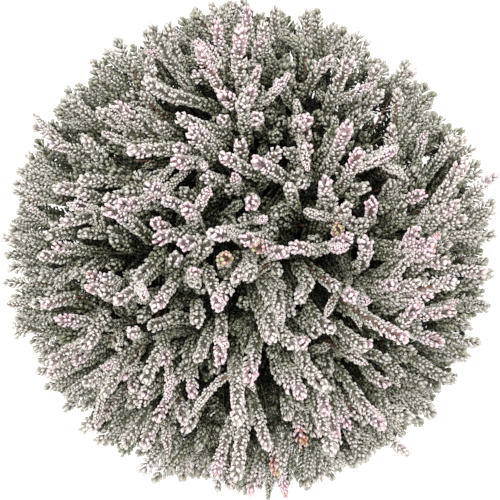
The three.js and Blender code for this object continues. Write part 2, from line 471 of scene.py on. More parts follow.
def add_fill(stems, taken):
    """Adds a ring of shoots round the crown's edge, and then shorter shoots between the main ones."""
    fill = [(crown_place(index, FILL_COUNT), FILL_SHORTEST, FILL_LONGEST) for index in range(FILL_COUNT)]
    for index in range(RIM_COUNT):
        turn = (index + RIM_TURN_SCATTER * draw(index, 20)) * 2 * math.pi / RIM_COUNT
        out = mix(RIM_PLACE_LEAST, RIM_PLACE_MOST, draw(index, 21))
        fill.append((flat_place(out, turn), RIM_FILL_SHORTEST, RIM_FILL_LONGEST))
    lit = [lit_points(stem, shoot) for stem in stems for shoot in stem.shoots]
    for index in sorted(range(len(fill)), key=lambda item: (item < FILL_COUNT, draw(item, 22))):
        place, shortest, longest = fill[index]
        apart = FILL_APART if index < FILL_COUNT else RIM_APART
        if min(math.dist(place, other) for other in taken) < apart:
            continue
        taken.append(place)
        number = SHOOT_COUNT + index
        fork = mix(FORK_LOWEST, FORK_HIGHEST, draw(number, 1))
        end = mix(shortest, longest, draw(number, 2))
        size = mix(SLIMMEST, PLUMPEST, draw(number, 3))
        shoot = Shoot(number, place, fork, end, size)
        stem = nearest_stem(stems, place)
        stem.shoots.append(shoot)
        find_light(stem, shoot, np.concatenate(lit))
        lit.append(lit_points(stem, shoot))


def wander_share(share):
    """How much of its sideways wander a shoot has made at a share of its way."""
    return smooth(share, WANDER_START, WANDER_FULL) / smooth(1, WANDER_START, WANDER_FULL)


def lit_points(stem, shoot):
    """Where the upper part of a shoot is, seen from above."""
    return np.array([shoot_point(stem, shoot, share)[:2] for share in LIT_SHARES])


def find_light(stem, shoot, lit):
    """Gives a shoot the wander, out of a few drawn ones, that leads it to the widest gap seen from above."""
    straight = lit_points(stem, shoot)[-1]
    middle = 1 - smooth(float(np.linalg.norm(straight)), 0, WANDER_MIDDLE)
    furthest = WANDER * (1 + WANDER_MIDDLE_MORE * middle)
    rim_radius = mix(RIM_FILL_LEAST, RIM_MOST, draw(shoot.number, 19) ** RIM_FILL_BIAS)
    widest = -1
    for item in range(WANDER_TRIES):
        number = shoot.number * WANDER_TRIES + item
        turn = 2 * math.pi * draw(number, 17)
        move = flat_place(furthest * math.sqrt(draw(number, 18)), turn)
        end = straight + move
        out = float(np.linalg.norm(end))
        if shoot.is_rim:
            move = move + end / out * (rim_radius - out)
        elif out > FILL_MOST:
            move = move + end / out * (FILL_MOST - out)
        shoot.wander = move
        moved = lit_points(stem, shoot)[-LIT_LAST:]
        gap = np.linalg.norm(lit[None] - moved[:, None], axis=2).min(axis=1).sum()
        if gap > widest:
            widest = gap
            best = move
    shoot.wander = best


def path_lengths(points):
    """The length along a path up to each of its points."""
    steps = np.linalg.norm(np.diff(points, axis=0), axis=1)
    return np.concatenate(((0.0,), np.cumsum(steps)))


def points_at(points, distances):
    """The points of a path at given distances along it."""
    lengths = path_lengths(points)
    return np.stack([np.interp(distances, lengths, points[:, axis]) for axis in range(3)], axis=1)


def leaf_fullness(share, from_tip):
    """How full the leaves are at a share of the leafy length and a distance from its tip."""
    return min(1, FULL_AT_START + share) * mix(TIP_LEAF_SIZE, 1, smooth(from_tip, 0, TIP_LENGTH))


def canopy_tops(stems):
    """The height of the highest leafy shoot over each square millimetre, seen from above."""
    tops = np.zeros((2 * CANOPY_HALF, 2 * CANOPY_HALF))
    around = range(-SHOOT_COVER, SHOOT_COVER + 1)
    spots = [(x, y) for x in around for y in around if math.hypot(x, y) <= SHOOT_COVER]
    for stem in stems:
        for shoot in stem.shoots:
            points = shoot_path(stem, shoot)
            fine = points_at(points, np.arange(0, path_lengths(points)[-1], CANOPY_STEP))
            columns = np.floor(fine[:, 0]).astype(int) + CANOPY_HALF
            rows = np.floor(fine[:, 1]).astype(int) + CANOPY_HALF
            for x, y in spots:
                np.maximum.at(tops, (columns + x, rows + y), fine[:, 2])
    return tops


def shade_above(tops, point):
    """How shaded a point is, from 0 in full light to 1 deep under other shoots."""
    column = math.floor(point[0]) + CANOPY_HALF
    row = math.floor(point[1]) + CANOPY_HALF
    return smooth(tops[column, row] - point[2], SHADE_FROM, SHADE_FULL)


def leaf_tone(shoot, point, from_tip, tops):
    """A leaf's place in the palette: painted shade darkens leaves that lie deep, low, under other shoots or
    at the rim, towards olive and near black; tips silver to pink.
    """
    radius = math.hypot(point[0], point[1])
    # Painted shade: leaves that lie deep in the crown, low down or under other shoots get darker tones; the
    # older leaves there are also duller.
    depth = CROWN_RADIUS - math.hypot(radius, max(point[2] - CROWN_EDGE, 0))
    darkest = mix(DARK_DEPTH_MIDDLE, DARK_DEPTH_RIM, min(radius / CROWN_RADIUS, 1))
    low_light = mix(LOW_LIGHT, LOW_TIP_LIGHT, 1 - smooth(from_tip, *LOW_TIP_REACH))
    lit = 1 - smooth(depth, LIT_DEPTH, darkest)
    lit *= mix(low_light, HIGH_LIGHT, smooth(point[2], LOW_HEIGHT, HIGH_HEIGHT))
    # Painted shade: leaves towards the crown's rim get a darker tone.
    rim_painted_shade = mix(1, RIM_PAINTED_SHADE, smooth(radius, *RIM_PAINTED_SHADE_REACH))
    lit *= mix(1, SHADE_TONE, shade_above(tops, point)) * rim_painted_shade
    fresh = 1 - smooth(from_tip, *FRESH_REACH)
    tip = 1 - smooth(from_tip, *PINK_REACH)
    blush = tip * smooth(draw(shoot.number, 4), *BLUSHING)
    bright = tip if draw(shoot.number, 15) < BRIGHT_TIPS else 0
    body = LIT_TONE + FRESH_TONE * fresh + TONE_SPREAD * (draw(shoot.number, 5) - 0.5)
    return min(SHADED_WITHERED_TONE + lit * body + BLUSH_TONE * blush * lit, PINKEST) + BRIGHT_TONE * bright


def leafy_part(shoot, points, tops):
    """The leafy part of a shoot's path, cut to short steps."""
    total = path_lengths(points)[-1]
    start = LEAVES_START
    if shoot.is_added:
        start = RIM_LEAVES_START if shoot.is_rim else FILL_LEAVES_START
    way = max(start, shoot.fork + BARE_AFTER_FORK)
    bare = total * (way - shoot.start) / (shoot.end - shoot.start)
    count = max(LEAF_LINE_LEAST, round((total - bare) / LEAF_LINE_STEP))
    distances = np.linspace(bare, total - LAST_LEAF, count)
    line_points = points_at(points, distances)
    shares = (distances - bare) / (total - bare)
    twist = mix(TWIST_LEAST, TWIST_MOST, draw(shoot.number, 16)) * (1 if shoot.number % 2 else -1)
    return Line(
        line_points,
        fullness=[leaf_fullness(s, total - d) * shoot.size for s, d in zip(shares, distances)],
        lean=[mix(CLOSED_LEAN, OPEN_LEAN, smooth(total - d, *OPENING)) for d in distances],
        density=[mix(SPARSE_AT_START, 1, smooth(share, *THICKENING)) for share in shares],
        tone=[leaf_tone(shoot, p, total - d, tops) for p, d in zip(line_points, distances)],
        pace=[1.0] * count,
        twist=[twist] * count,
    )


def turned_away(direction, angle, azimuth):
    """A direction turned by an angle away from its own line, towards an azimuth round it."""
    side = Vector(direction).orthogonal().normalized()
    across = Vector(direction).cross(side)
    aside = side * math.cos(azimuth) + across * math.sin(azimuth)
    return np.array(Vector(direction) * math.cos(angle) + aside * math.sin(angle))


def side_path(line, item, length):
    """The path of a numbered side shoot, which leaves its shoot at an angle and curls back along it."""
    at = path_lengths(line.points)[-1] * mix(*SIDE_PLACES, draw(item, 7))
    base, ahead = points_at(line.points, [at, at + SIDE_LOOK_AHEAD])
    ahead = (ahead - base) / np.linalg.norm(ahead - base)
    angle = math.radians(mix(SIDE_ANGLE_LEAST, SIDE_ANGLE_MOST, draw(item, 9)))
    heading = turned_away(ahead, angle, draw(item, 8) * 2 * math.pi)
    curl = mix(0.0, SIDE_CURL, draw(item, 11))
    steps = max(SIDE_STEPS_LEAST, round(length / SIDE_STEP))
    points = [base + heading * SIDE_START]
    for _ in range(steps):
        points.append(points[-1] + heading * (length / steps))
        heading = heading + ahead * curl
        heading /= np.linalg.norm(heading)
    return np.array(points)


def side_fullness(share):
    """How full the leaves of a side shoot are at a share of its length: they are smaller at both ends."""
    return min(1, SIDE_FULL_AT_START + SIDE_FILLING * share, SIDE_FULL_AT_END + SIDE_FILLING * (1 - share))


def side_shoots(line, shoot, tops):
    """Short young shoots on the upper part of a leafy shoot, as leafy lines."""
    lines = []
    most = SIDES_OF_FILL if shoot.is_added else SIDES_OF_MAIN
    for turn in range(int(draw(shoot.number, 6) * most)):
        item = shoot.number * SIDE_DRAWS + turn
        length = mix(SIDE_SHORTEST, SIDE_LONGEST, draw(item, 10)) * min(1, mix(SIDE_OF_SHORT, 1, shoot.end))
        points = side_path(line, item, length)
        if np.linalg.norm(points[-1, :2]) > RIM_MOST:
            continue
        shares = np.linspace(0, 1, len(points))
        size = SIDE_SIZE * mix(*SIDE_SIZES, draw(item, 12))
        lean = mix(*SIDE_LEANS, draw(item, 13))
        lines.append(Line(
            points,
            fullness=[size * side_fullness(share) for share in shares],
            lean=[lean - SIDE_TIP_LEAN * smooth(share, *SIDE_TIP) for share in shares],
            density=[1.0] * len(points),
            tone=[leaf_tone(shoot, p, length * (1 - s), tops) + SIDE_TONE for p, s in zip(points, shares)],
            pace=[SIDE_PACE] * len(points),
            twist=[SIDE_TWIST] * len(points),
        ))
    return lines


def shoot_path(stem, shoot):
    """The whole middle line of a shoot as a fine path in millimetres."""
    return np.array([shoot_point(stem, shoot, share) for share in np.linspace(0, 1, PATH_POINTS)])


def wood_line(points, thick, thin, ages):
    """The path of a stem or core that gets thinner, with its bark's age at its two ends."""
    shares = np.linspace(0, 1, len(points))
    lengths = path_lengths(points)
    return Line(
        points,
        thick=[mix(thick, thin, share) * MM for share in shares],
        age=[mix(*ages, share) for share in shares],
        grain=[STEM_MAP_MIDDLE + STEM_MAP_SWING * math.sin(d * STEM_RING_PITCH) for d in lengths],
    )


def branch_lines(stem, tops):
    """The leafy lines and the woody lines of one branch."""
    leafy = []
    woody = []
    for shoot in stem.shoots:
        points = shoot_path(stem, shoot)
        total = path_lengths(points)[-1]
        line = leafy_part(shoot, points, tops)
        leafy.append(line)
        bare = total - path_lengths(line.points)[-1]
        steps = max(STEM_STEPS_LEAST, round(bare / STEM_STEP))
        below = points_at(points, np.linspace(0, bare, steps))
        if shoot is stem.leader:
            foot = below[0] - np.array((0, 0, STEM_START - SOIL_TOP + ROOT_DEPTH / 2))
            below = np.vstack((foot[None], below))
        thick = STEM_RADIUS if shoot is stem.leader else TWIG_RADIUS
        core = PINK_CORE if draw(shoot.number, 14) < PINK_CORE_SHARE else GREEN_CORE
        woody.append(wood_line(below, thick, TWIG_TOP_RADIUS, (OLD_WOOD, YOUNG_WOOD)))
        woody.append(wood_line(line.points[::CORE_EVERY], CORE_RADIUS, CORE_TIP_RADIUS, core))
        for side_line in side_shoots(line, shoot, tops):
            leafy.append(side_line)
            side_core = side_line.points[::SIDE_CORE_EVERY]
            woody.append(wood_line(side_core, SIDE_CORE_RADIUS, CORE_TIP_RADIUS, SIDE_CORE))
    return leafy, woody


def all_branch_lines():
    """The leafy lines and the woody lines of every branch, in the order of the stems."""
    stems = plan_stems()
    tops = canopy_tops(stems)
    return [branch_lines(stem, tops) for stem in stems]


# Node trees


class Wire:
    """A socket in a node tree. Arithmetic on it adds Math nodes."""

    def __init__(self, plan, socket):
        self.plan = plan
        self.socket = socket

    def maths(self, operation, first, second):
        """The result of a new Math node."""
        return self.plan.node("ShaderNodeMath", {"operation": operation}, {0: first, 1: second})

    def __add__(self, other):
        return self.maths("ADD", self, other)

    def __sub__(self, other):
        return self.maths("SUBTRACT", self, other)

    def __mul__(self, other):
        return self.maths("MULTIPLY", self, other)

    def __pow__(self, other):
        return self.maths("POWER", self, other)

    def __lt__(self, other):
        return self.maths("LESS_THAN", self, other)

    def __rsub__(self, other):
        return self.maths("SUBTRACT", other, self)

    __radd__ = __add__
    __rmul__ = __mul__


class Plan:
    """A node tree while it is being built."""

    def __init__(self, tree):
        self.tree = tree

    def node(self, kind, settings=None, inputs=None, output=0):
        """Adds a node, makes its settings, fills or links its sockets, and returns one of its outputs."""
        node = self.tree.nodes.new(kind)
        for name, value in (settings or {}).items():
            if name == "stops":
                fill_ramp(node.color_ramp, value)
            else:
                setattr(node, name, value)
        for key, value in (inputs or {}).items():
            for part in value if isinstance(value, list) else [value]:
                if isinstance(part, Wire):
                    self.tree.links.new(part.socket, node.inputs[key])
                else:
                    node.inputs[key].default_value = part
        if isinstance(output, tuple):
            return [Wire(self, node.outputs[name]) for name in output]
        return Wire(self, node.outputs[output]) if len(node.outputs) else node

    def attribute(self, name):
        """A number that the mesh or curve carries under a name, in a geometry tree."""
        return self.node("GeometryNodeInputNamedAttribute", {"data_type": "FLOAT"}, {"Name": name})

    def random(self, low, high, seed):
        """A random number for each point or instance, in a geometry tree."""
        return self.node("FunctionNodeRandomValue", {}, {2: low, 3: high, "Seed": seed}, 1)

    def vector(self, x, y, z):
        """Three numbers as one vector."""
        return self.node("ShaderNodeCombineXYZ", {}, {"X": x, "Y": y, "Z": z})

    def ramp(self, place, *stops):
        """A colour read from a palette, given as pairs of a place and a colour, in a material."""
        return self.node("ShaderNodeValToRGB", {"stops": stops}, {"Fac": place})

    def spread(self, value, start, end, low=0.0, high=1.0):
        """A value's way from start to end as a number from low to high, in a material."""
        return self.node("ShaderNodeMapRange", {}, {"Value": value, 1: start, 2: end, 3: low, 4: high})

    def noise(self, place, scale, detail):
        """Soft noise from 0 to 1, in a material."""
        return self.node("ShaderNodeTexNoise", {}, {"Vector": place, "Scale": scale, "Detail": detail})

    def bump(self, height, strength, distance):
        """A surface roughened by a height, in a material."""
        inputs = {"Strength": strength, "Distance": distance, "Height": height}
        return self.node("ShaderNodeBump", {}, inputs)

    def mixed(self, share, first, second, kind="MIX"):
        """Two colours mixed, in a material."""
        settings = {"data_type": "RGBA", "blend_type": kind}
        return self.node("ShaderNodeMix", settings, {0: share, 6: first, 7: second}, 2)


def fill_ramp(ramp, stops):
    """Gives a colour ramp its stops, as pairs of a place and a colour."""
    while len(ramp.elements) > 1:
        ramp.elements.remove(ramp.elements[-1])
    ramp.elements[0].position = stops[0][0]
    ramp.elements[0].color = tuple(stops[0][1])
    for place, stop_colour in stops[1:]:
        ramp.elements.new(place).color = tuple(stop_colour)


def geometry_plan(name, sockets):
    """A geometry tree with named inputs, given as name and socket type, and their wires."""
    tree = bpy.data.node_groups.new(name, "GeometryNodeTree")
    tree.interface.new_socket("Geometry", in_out="OUTPUT", socket_type="NodeSocketGeometry")
    tree.interface.new_socket("Geometry", in_out="INPUT", socket_type="NodeSocketGeometry")
    for socket_name, kind in sockets.items():
        tree.interface.new_socket(socket_name, in_out="INPUT", socket_type="NodeSocket" + kind)
    plan = Plan(tree)
    names = ("Geometry",) + tuple(sockets)
    wires = dict(zip(names, plan.node("NodeGroupInput", output=names)))
    return plan, wires


def close_plan(plan, geometry, material):
    """Ends a geometry tree: smooth faces, the material, and the output."""
    smooth_faces = plan.node("GeometryNodeSetShadeSmooth", {}, {"Geometry": geometry})
    dressed = plan.node("GeometryNodeSetMaterial", {}, {"Geometry": smooth_faces, "Material": material})
    plan.node("NodeGroupOutput", {}, {"Geometry": dressed})
    return plan.tree


def store(plan, geometry, name, value, domain, kind="FLOAT"):
    """Keeps a value on the geometry under a name."""
    settings = {"data_type": kind, "domain": domain}
    inputs = {"Geometry": geometry, "Name": name, "Value": value}
    return plan.node("GeometryNodeStoreNamedAttribute", settings, inputs)


def turned_on(plan, rotation, y, z):
    """A rotation turned on about its own y and z, in a geometry tree."""
    more = plan.node("FunctionNodeEulerToRotation", {}, {"Euler": plan.vector(0, y, z)})
    inputs = {"Rotation": rotation, "Rotate By": more}
    return plan.node("FunctionNodeRotateRotation", {"rotation_space": "LOCAL"}, inputs)


def store_map(plan, geometry, along, tone):
    """Realizes the instances and gives their faces the piece's own map."""
    geometry = plan.node("GeometryNodeRealizeInstances", {}, {"Geometry": geometry})
    return store(plan, geometry, BAKE_MAP, plan.vector(along, tone, 0), "CORNER", "FLOAT2")


def leafy_shoots_tree():
    """Leaves in crossed pairs, each a quarter turn from the pair below, with young leaves in their axils."""
    plan, given = geometry_plan("leafy_shoots", {
        "Leaf": "Object",
        "Internode": "Float",
        "Leaf size": "Float",
        "Axil leaf size": "Float",
        "Axil leaf share": "Float",
        "Size scatter": "Float",
        "Turn scatter": "Float",
        "Lean scatter": "Float",
        "Tone scatter": "Float",
        "Seed": "Int",
        "Material": "Material",
    })
    curves = plan.node("GeometryNodeMeshToCurve", {}, {"Mesh": given["Geometry"]})
    length = given["Internode"] * plan.attribute("pace")
    curves = plan.node("GeometryNodeResampleCurve", {"mode": "LENGTH"}, {"Curve": curves, "Length": length})
    points, rotation = plan.node(
        "GeometryNodeCurveToPoints", {"mode": "EVALUATED"}, {"Curve": curves}, ("Points", "Rotation"))
    leaf = plan.node("GeometryNodeObjectInfo", {}, {"Object": given["Leaf"]}, "Geometry")
    index = plan.node("GeometryNodeInputIndex")
    rows = []
    for item in range(4):
        in_axil = item > 1
        seed = given["Seed"] + item * 10
        twist = math.pi / 2 + plan.attribute("twist")
        first_turn = item * math.pi + (math.pi / 4 if in_axil else 0)
        turn = index * twist + first_turn + plan.random(-1, 1, seed + 1) * given["Turn scatter"]
        lean = plan.attribute("lean") + plan.random(-1, 1, seed + 2) * given["Lean scatter"]
        about = turned_on(plan, turned_on(plan, rotation, 0, turn), lean, 0)
        scatter = 1 + plan.random(-1, 1, seed + 3) * given["Size scatter"]
        size = given["Leaf size"] * plan.attribute("fullness") * scatter
        density = plan.attribute("density")
        if in_axil:
            size = size * given["Axil leaf size"]
            density = density ** 2 * given["Axil leaf share"]
        kept = plan.random(0, 1, seed + 4) < density
        row = plan.node("GeometryNodeInstanceOnPoints", {}, {
            "Points": points,
            "Selection": kept,
            "Instance": leaf,
            "Rotation": about,
            "Scale": plan.vector(size, size, size),
        })
        shade = plan.attribute("tone") + plan.random(-1, 1, seed + 5) * given["Tone scatter"]
        shade = plan.node("ShaderNodeClamp", {}, {"Value": shade, "Min": MAP_LEAST, "Max": LEAF_MAP_MOST})
        rows.append(store(plan, row, "shade", shade, "INSTANCE"))
    leaves = plan.node("GeometryNodeJoinGeometry", {}, {"Geometry": rows})
    tone = plan.attribute("shade") + plan.attribute("across")
    return close_plan(plan, store_map(plan, leaves, plan.attribute("along"), tone), given["Material"])


def woody_stems_tree():
    """Round tapering stems along every line, closed at both ends."""
    plan, given = geometry_plan("woody_stems", {"Sides": "Int", "Material": "Material"})
    curves = plan.node("GeometryNodeMeshToCurve", {}, {"Mesh": given["Geometry"]})
    ring = plan.node("GeometryNodeCurvePrimitiveCircle", {}, {"Resolution": given["Sides"], "Radius": 1.0})
    x, y, z = plan.node(
        "ShaderNodeSeparateXYZ", {}, {0: plan.node("GeometryNodeInputPosition")}, ("X", "Y", "Z"))
    ring = store(plan, ring, "round", x * STEM_MAP_X + y * STEM_MAP_Y, "POINT")
    stems = plan.node("GeometryNodeCurveToMesh", {}, {
        "Curve": curves,
        "Profile Curve": ring,
        "Scale": plan.attribute("thick"),
        "Fill Caps": True,
    })
    edge = plan.attribute("round")
    age = plan.attribute("age") + edge * STEM_MAP_AGE
    stems = store_map(plan, stems, plan.attribute("grain") + edge, age)
    return close_plan(plan, stems, given["Material"])


def scattered_crumbs_tree():
    """Small lumps scattered over a surface, each turned and sized at random."""
    plan, given = geometry_plan("scattered_crumbs", {
        "Crumbs": "Collection",
        "Density": "Float",
        "Smallest": "Float",
        "Largest": "Float",
        "Seed": "Int",
        "Material": "Material",
    })
    points = plan.node("GeometryNodeDistributePointsOnFaces", {}, {
        "Mesh": given["Geometry"], "Density": given["Density"], "Seed": given["Seed"]})
    crumbs = plan.node(
        "GeometryNodeCollectionInfo", {},
        {"Collection": given["Crumbs"], "Separate Children": True, "Reset Children": True})
    turn = plan.vector(*(plan.random(0, 2 * math.pi, given["Seed"] + item) for item in (1, 2, 3)))
    turn = plan.node("FunctionNodeEulerToRotation", {}, {"Euler": turn})
    share = plan.random(0, 1, given["Seed"] + 4) ** SMALL_CRUMB_BIAS
    size = given["Smallest"] + share * (given["Largest"] - given["Smallest"])
    lumps = plan.node("GeometryNodeInstanceOnPoints", {}, {
        "Points": points,
        "Instance": crumbs,
        "Pick Instance": True,
        "Rotation": turn,
        "Scale": plan.vector(size, size, size),
    })
    lumps = store(plan, lumps, "shade", plan.random(*CRUMB_SHADES, given["Seed"] + 5), "INSTANCE")
    tone = plan.attribute("shade") + plan.attribute("across")
    return close_plan(plan, store_map(plan, lumps, plan.attribute("along"), tone), given["Material"])


# Meshes and objects


def add_object(name, mesh):
    """A new object at the origin, in the scene."""
    made = bpy.data.objects.new(name, mesh)
    bpy.context.scene.collection.objects.link(made)
    return made


def add_attribute(mesh, name, values):
    """Keeps one number for each vertex of a mesh under a name."""
    mesh.attributes.new(name, "FLOAT", "POINT").data.foreach_set("value", values)


def lines_mesh(name, lines):
    """A mesh of edges along every line, with the lines' values on its vertices."""
    points = np.concatenate([line.points for line in lines]) * MM
    edges = []
    first = 0
    for line in lines:
        count = len(line.points)
        edges += [(first + step, first + step + 1) for step in range(count - 1)]
        first += count
    mesh = bpy.data.meshes.new(name)
    mesh.from_pydata(points.tolist(), edges, [])
    for key in lines[0].values:
        add_attribute(mesh, key, [value for line in lines for value in line.values[key]])
    return mesh


def finished_mesh(made):
    """An object's mesh with its modifiers worked in."""
    return bpy.data.meshes.new_from_object(made.evaluated_get(bpy.context.evaluated_depsgraph_get()))


def grow(name, mesh, tree, values):
    """A plain mesh object made from a mesh by a geometry tree, with the tree's inputs set by name."""
    grower = add_object(name + "_lines", mesh)
    modifier = grower.modifiers.new("grow", "NODES")
    modifier.node_group = tree
    for item in tree.interface.items_tree:
        if item.in_out == "INPUT" and item.name in values:
            modifier[item.identifier] = values[item.name]
    grown = finished_mesh(grower)
    bpy.data.objects.remove(grower)
    for attribute in list(grown.attributes):
        if attribute.name in GROWING_VALUES:
            grown.attributes.remove(attribute)
    return add_object(name, grown)


def dress(piece, *nodes, slot=None):
    """Rides a finished piece on the root body, in place of the nodes that it stands for."""
    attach(piece, "root")
    if nodes:
        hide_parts(*nodes)


def leaf_axis(sizes, share):
    """A point of a leaf's middle line: it leaves the shoot outwards and then turns up along it."""
    out = mix(LEAF_BASE_OUT * MM, sizes.leaf_reach, math.sin(math.pi / 2 * share ** LEAF_OUT_BEND))
    rise = mix(LEAF_BASE_DOWN * MM, sizes.leaf_rise, share ** LEAF_RISE_BEND)
    return Vector((out, 0, rise))


def leaf_mesh(sizes):
    """One keeled scale leaf of 8 faces, widest near its tip: x points away from the shoot, z along it.

    Its six points are the base, the keel, one edge, the inner face, the other edge and the tip."""
    widest = leaf_axis(sizes, LEAF_WIDEST)
    ahead = leaf_axis(sizes, LEAF_WIDEST + LEAF_NEAR) - leaf_axis(sizes, LEAF_WIDEST - LEAF_NEAR)
    ahead.normalize()
    outward = Vector((ahead.z, 0, -ahead.x)) * sizes.leaf_depth
    side = Vector((0, sizes.leaf_width / 2, 0))
    ring = [widest + outward * LEAF_KEEL, widest + side, widest - outward * LEAF_FACE, widest - side]
    points = [leaf_axis(sizes, 0), *ring, leaf_axis(sizes, 1)]
    faces = []
    for corner in range(4):
        here = 1 + corner
        following = 1 + (corner + 1) % 4
        faces += [(0, following, here), (here, following, 5)]
    mesh = bpy.data.meshes.new("scale_leaf")
    mesh.from_pydata(points, [], faces)
    add_attribute(mesh, "along", LEAF_MAP_ALONG)
    add_attribute(mesh, "across", LEAF_MAP_ACROSS)
    point_faces_outwards(mesh)
    return mesh


def point_faces_outwards(mesh):
    """Makes every face of a closed mesh point outwards, after its doubled points are merged."""
    shape = bmesh.new()
    shape.from_mesh(mesh)
    bmesh.ops.remove_doubles(shape, verts=shape.verts, dist=1e-7)
    bmesh.ops.recalc_face_normals(shape, faces=shape.faces)
    bmesh.ops.triangulate(shape, faces=shape.faces)
    shape.to_mesh(mesh)
    shape.free()


def turned_mesh(name, profile, segments):
    """A closed turned body from a profile of radius and height pairs in millimetres, poles included."""
    points = []
    rows = []
    for radius, height in profile:
        if radius == 0:
            rows.append([len(points)] * segments)
            points.append((0, 0, height * MM))
            continue
        rows.append([len(points) + step for step in range(segments)])
        for step in range(segments):
            angle = 2 * math.pi * step / segments
            points.append((radius * math.cos(angle) * MM, radius * math.sin(angle) * MM, height * MM))
    faces = []
    for below, above in zip(rows, rows[1:]):
        for step in range(segments):
            after = (step + 1) % segments
            corners = [below[step], below[after], above[after], above[step]]
            faces.append(tuple(dict.fromkeys(corners)))
    mesh = bpy.data.meshes.new(name)
    mesh.from_pydata(points, [], faces)
    return mesh


def wall_radius(height):
    """The radius of the pot's outer wall below the rim band, in millimetres."""
    return mix(POT_BASE_RADIUS, POT_TOP_RADIUS - BAND_STEP, height / POT_HEIGHT)


def rounded(start, corner, end, radius, steps=4):
    """Points of a rounded corner between two straight runs of a profile."""
    start, corner, end = (Vector(point) for point in (start, corner, end))
    first = corner + (start - corner).normalized() * radius
    last = corner + (end - corner).normalized() * radius
    points = []
    for step in range(steps + 1):
        share = step / steps
        points.append(tuple(first * (1 - share) ** 2 + corner * 2 * share * (1 - share) + last * share ** 2))
    return points


def pot_profile():
    """The pot's section: floor, wall, rim band with a rolled lip, inner wall and inner floor."""
    band_foot = POT_HEIGHT - BAND_HEIGHT
    inner_top = wall_radius(POT_HEIGHT) - POT_WALL
    corners = [
        (0, 0),
        (POT_BASE_RADIUS - POT_BASE_FLAT, 0),
        (POT_BASE_RADIUS, 0),
        (wall_radius(band_foot), band_foot),
        (wall_radius(band_foot) + BAND_STEP, band_foot),
        (POT_TOP_RADIUS, POT_HEIGHT),
        (inner_top, POT_HEIGHT),
        (wall_radius(POT_FLOOR) - POT_WALL, POT_FLOOR),
        (0, POT_FLOOR),
    ]
    profile = [corners[0]]
    for before, corner, after, radius in zip(corners, corners[1:], corners[2:], POT_CORNER_RADII):
        profile += rounded(before, corner, after, radius) if radius else [corner]
    profile.append(corners[-1])
    return profile


def pierce_pot(pot):
    """Cuts the drainage holes through the pot's floor."""
    drill_mesh = bpy.data.meshes.new("drill")
    drill = bmesh.new()
    for index in range(DRAIN_COUNT):
        angle = (index + 0.5) * 2 * math.pi / DRAIN_COUNT
        made = bmesh.ops.create_cone(
            drill, cap_ends=True, segments=DRAIN_SEGMENTS, radius1=DRAIN_RADIUS * MM,
            radius2=DRAIN_RADIUS * MM, depth=3 * POT_FLOOR * MM)
        place = Vector((math.cos(angle), math.sin(angle), 0)) * DRAIN_RING * MM
        bmesh.ops.translate(drill, verts=made["verts"], vec=place)
    drill.to_mesh(drill_mesh)
    drill.free()
    cutter = add_object("drill", drill_mesh)
    cut = pot.modifiers.new("drainage", "BOOLEAN")
    cut.operation = "DIFFERENCE"
    cut.solver = "EXACT"
    cut.object = cutter
    pierced = finished_mesh(pot)
    pot.modifiers.clear()
    pot.data = pierced
    bpy.data.objects.remove(cutter)


def crumbs_height(x, y):
    """The height of the compost surface above its mean level, in millimetres."""
    bend = CRUMB_BEND * math.sin(CRUMB_BEND_PITCH * y)
    broad = CRUMB_HEIGHT * math.sin(CRUMB_PITCH * x + bend) * math.sin(CRUMB_PITCH * y)
    grain_x = math.sin(GRAIN_PITCH_X * x + GRAIN_BEND * math.sin(GRAIN_BEND_PITCH_Y * y))
    grain_y = math.sin(GRAIN_PITCH_Y * y + math.sin(GRAIN_BEND_PITCH_X * x))
    return broad + GRAIN_HEIGHT * grain_x * grain_y


def compost_mesh():
    """The compost body, with a crumbly top, that fills the pot a little below its rim."""
    edge = wall_radius(SOIL_TOP) - POT_WALL - SOIL_GAP
    floor = POT_FLOOR + SOIL_GAP
    profile = [(0, floor), (wall_radius(floor) - POT_WALL - SOIL_GAP, floor)]
    profile += [(edge * (1 - ring / SOIL_RINGS), SOIL_TOP) for ring in range(SOIL_RINGS)]
    profile.append((0, SOIL_TOP))
    mesh = turned_mesh("compost", profile, SOIL_SEGMENTS)
    for vertex in mesh.vertices:
        x, y, z = vertex.co / MM
        if z > SOIL_TOP - SOIL_TOP_DEPTH:
            fade = smooth(edge - math.hypot(x, y), 0.0, SOIL_EDGE_FADE)
            vertex.co.z += crumbs_height(x, y) * fade * MM
    point_faces_outwards(mesh)
    return mesh


def crumb_meshes():
    """Four irregular lumps about a unit across, each with 20 faces."""
    meshes = []
    for kind in range(CRUMB_KINDS):
        shape = bmesh.new()
        bmesh.ops.create_icosphere(shape, subdivisions=1, radius=0.5)
        for vertex in shape.verts:
            item = vertex.index + kind * CRUMB_DRAWS
            depth = CRUMB_DEPTH + CRUMB_DEPTH_MORE * draw(kind, 30)
            rise = CRUMB_RISE + CRUMB_RISE_MORE * draw(kind, 31)
            vertex.co = vertex.co * mix(*CRUMB_SIZES, draw(item, 32)) * Vector((1, depth, rise))
        mesh = bpy.data.meshes.new(f"crumb_{kind}")
        shape.to_mesh(mesh)
        shape.free()
        # The height within each lump, which the crumb material turns into painted shade: darker underneath,
        # lighter on top.
        heights = [(vertex.co.z + CRUMB_REACH) / (2 * CRUMB_REACH) for vertex in mesh.vertices]
        add_attribute(mesh, "along", [min(max(height, MAP_LEAST), MAP_MOST) for height in heights])
        add_attribute(mesh, "across", [vertex.co.x * CRUMB_MAP_ACROSS for vertex in mesh.vertices])
        meshes.append(mesh)
    return meshes


# Materials


def material_plan(name):
    """A new material with one Principled shader, as a plan, the shader's node and the material."""
    material = bpy.data.materials.new(name)
    material.use_nodes = True
    return Plan(material.node_tree), material.node_tree.nodes["Principled BSDF"], material


def feed(plan, shader, **wires):
    """Links wires to the shader's sockets, named with underscores for spaces."""
    for name, wire in wires.items():
        plan.tree.links.new(wire.socket, shader.inputs[name.replace("_", " ")])


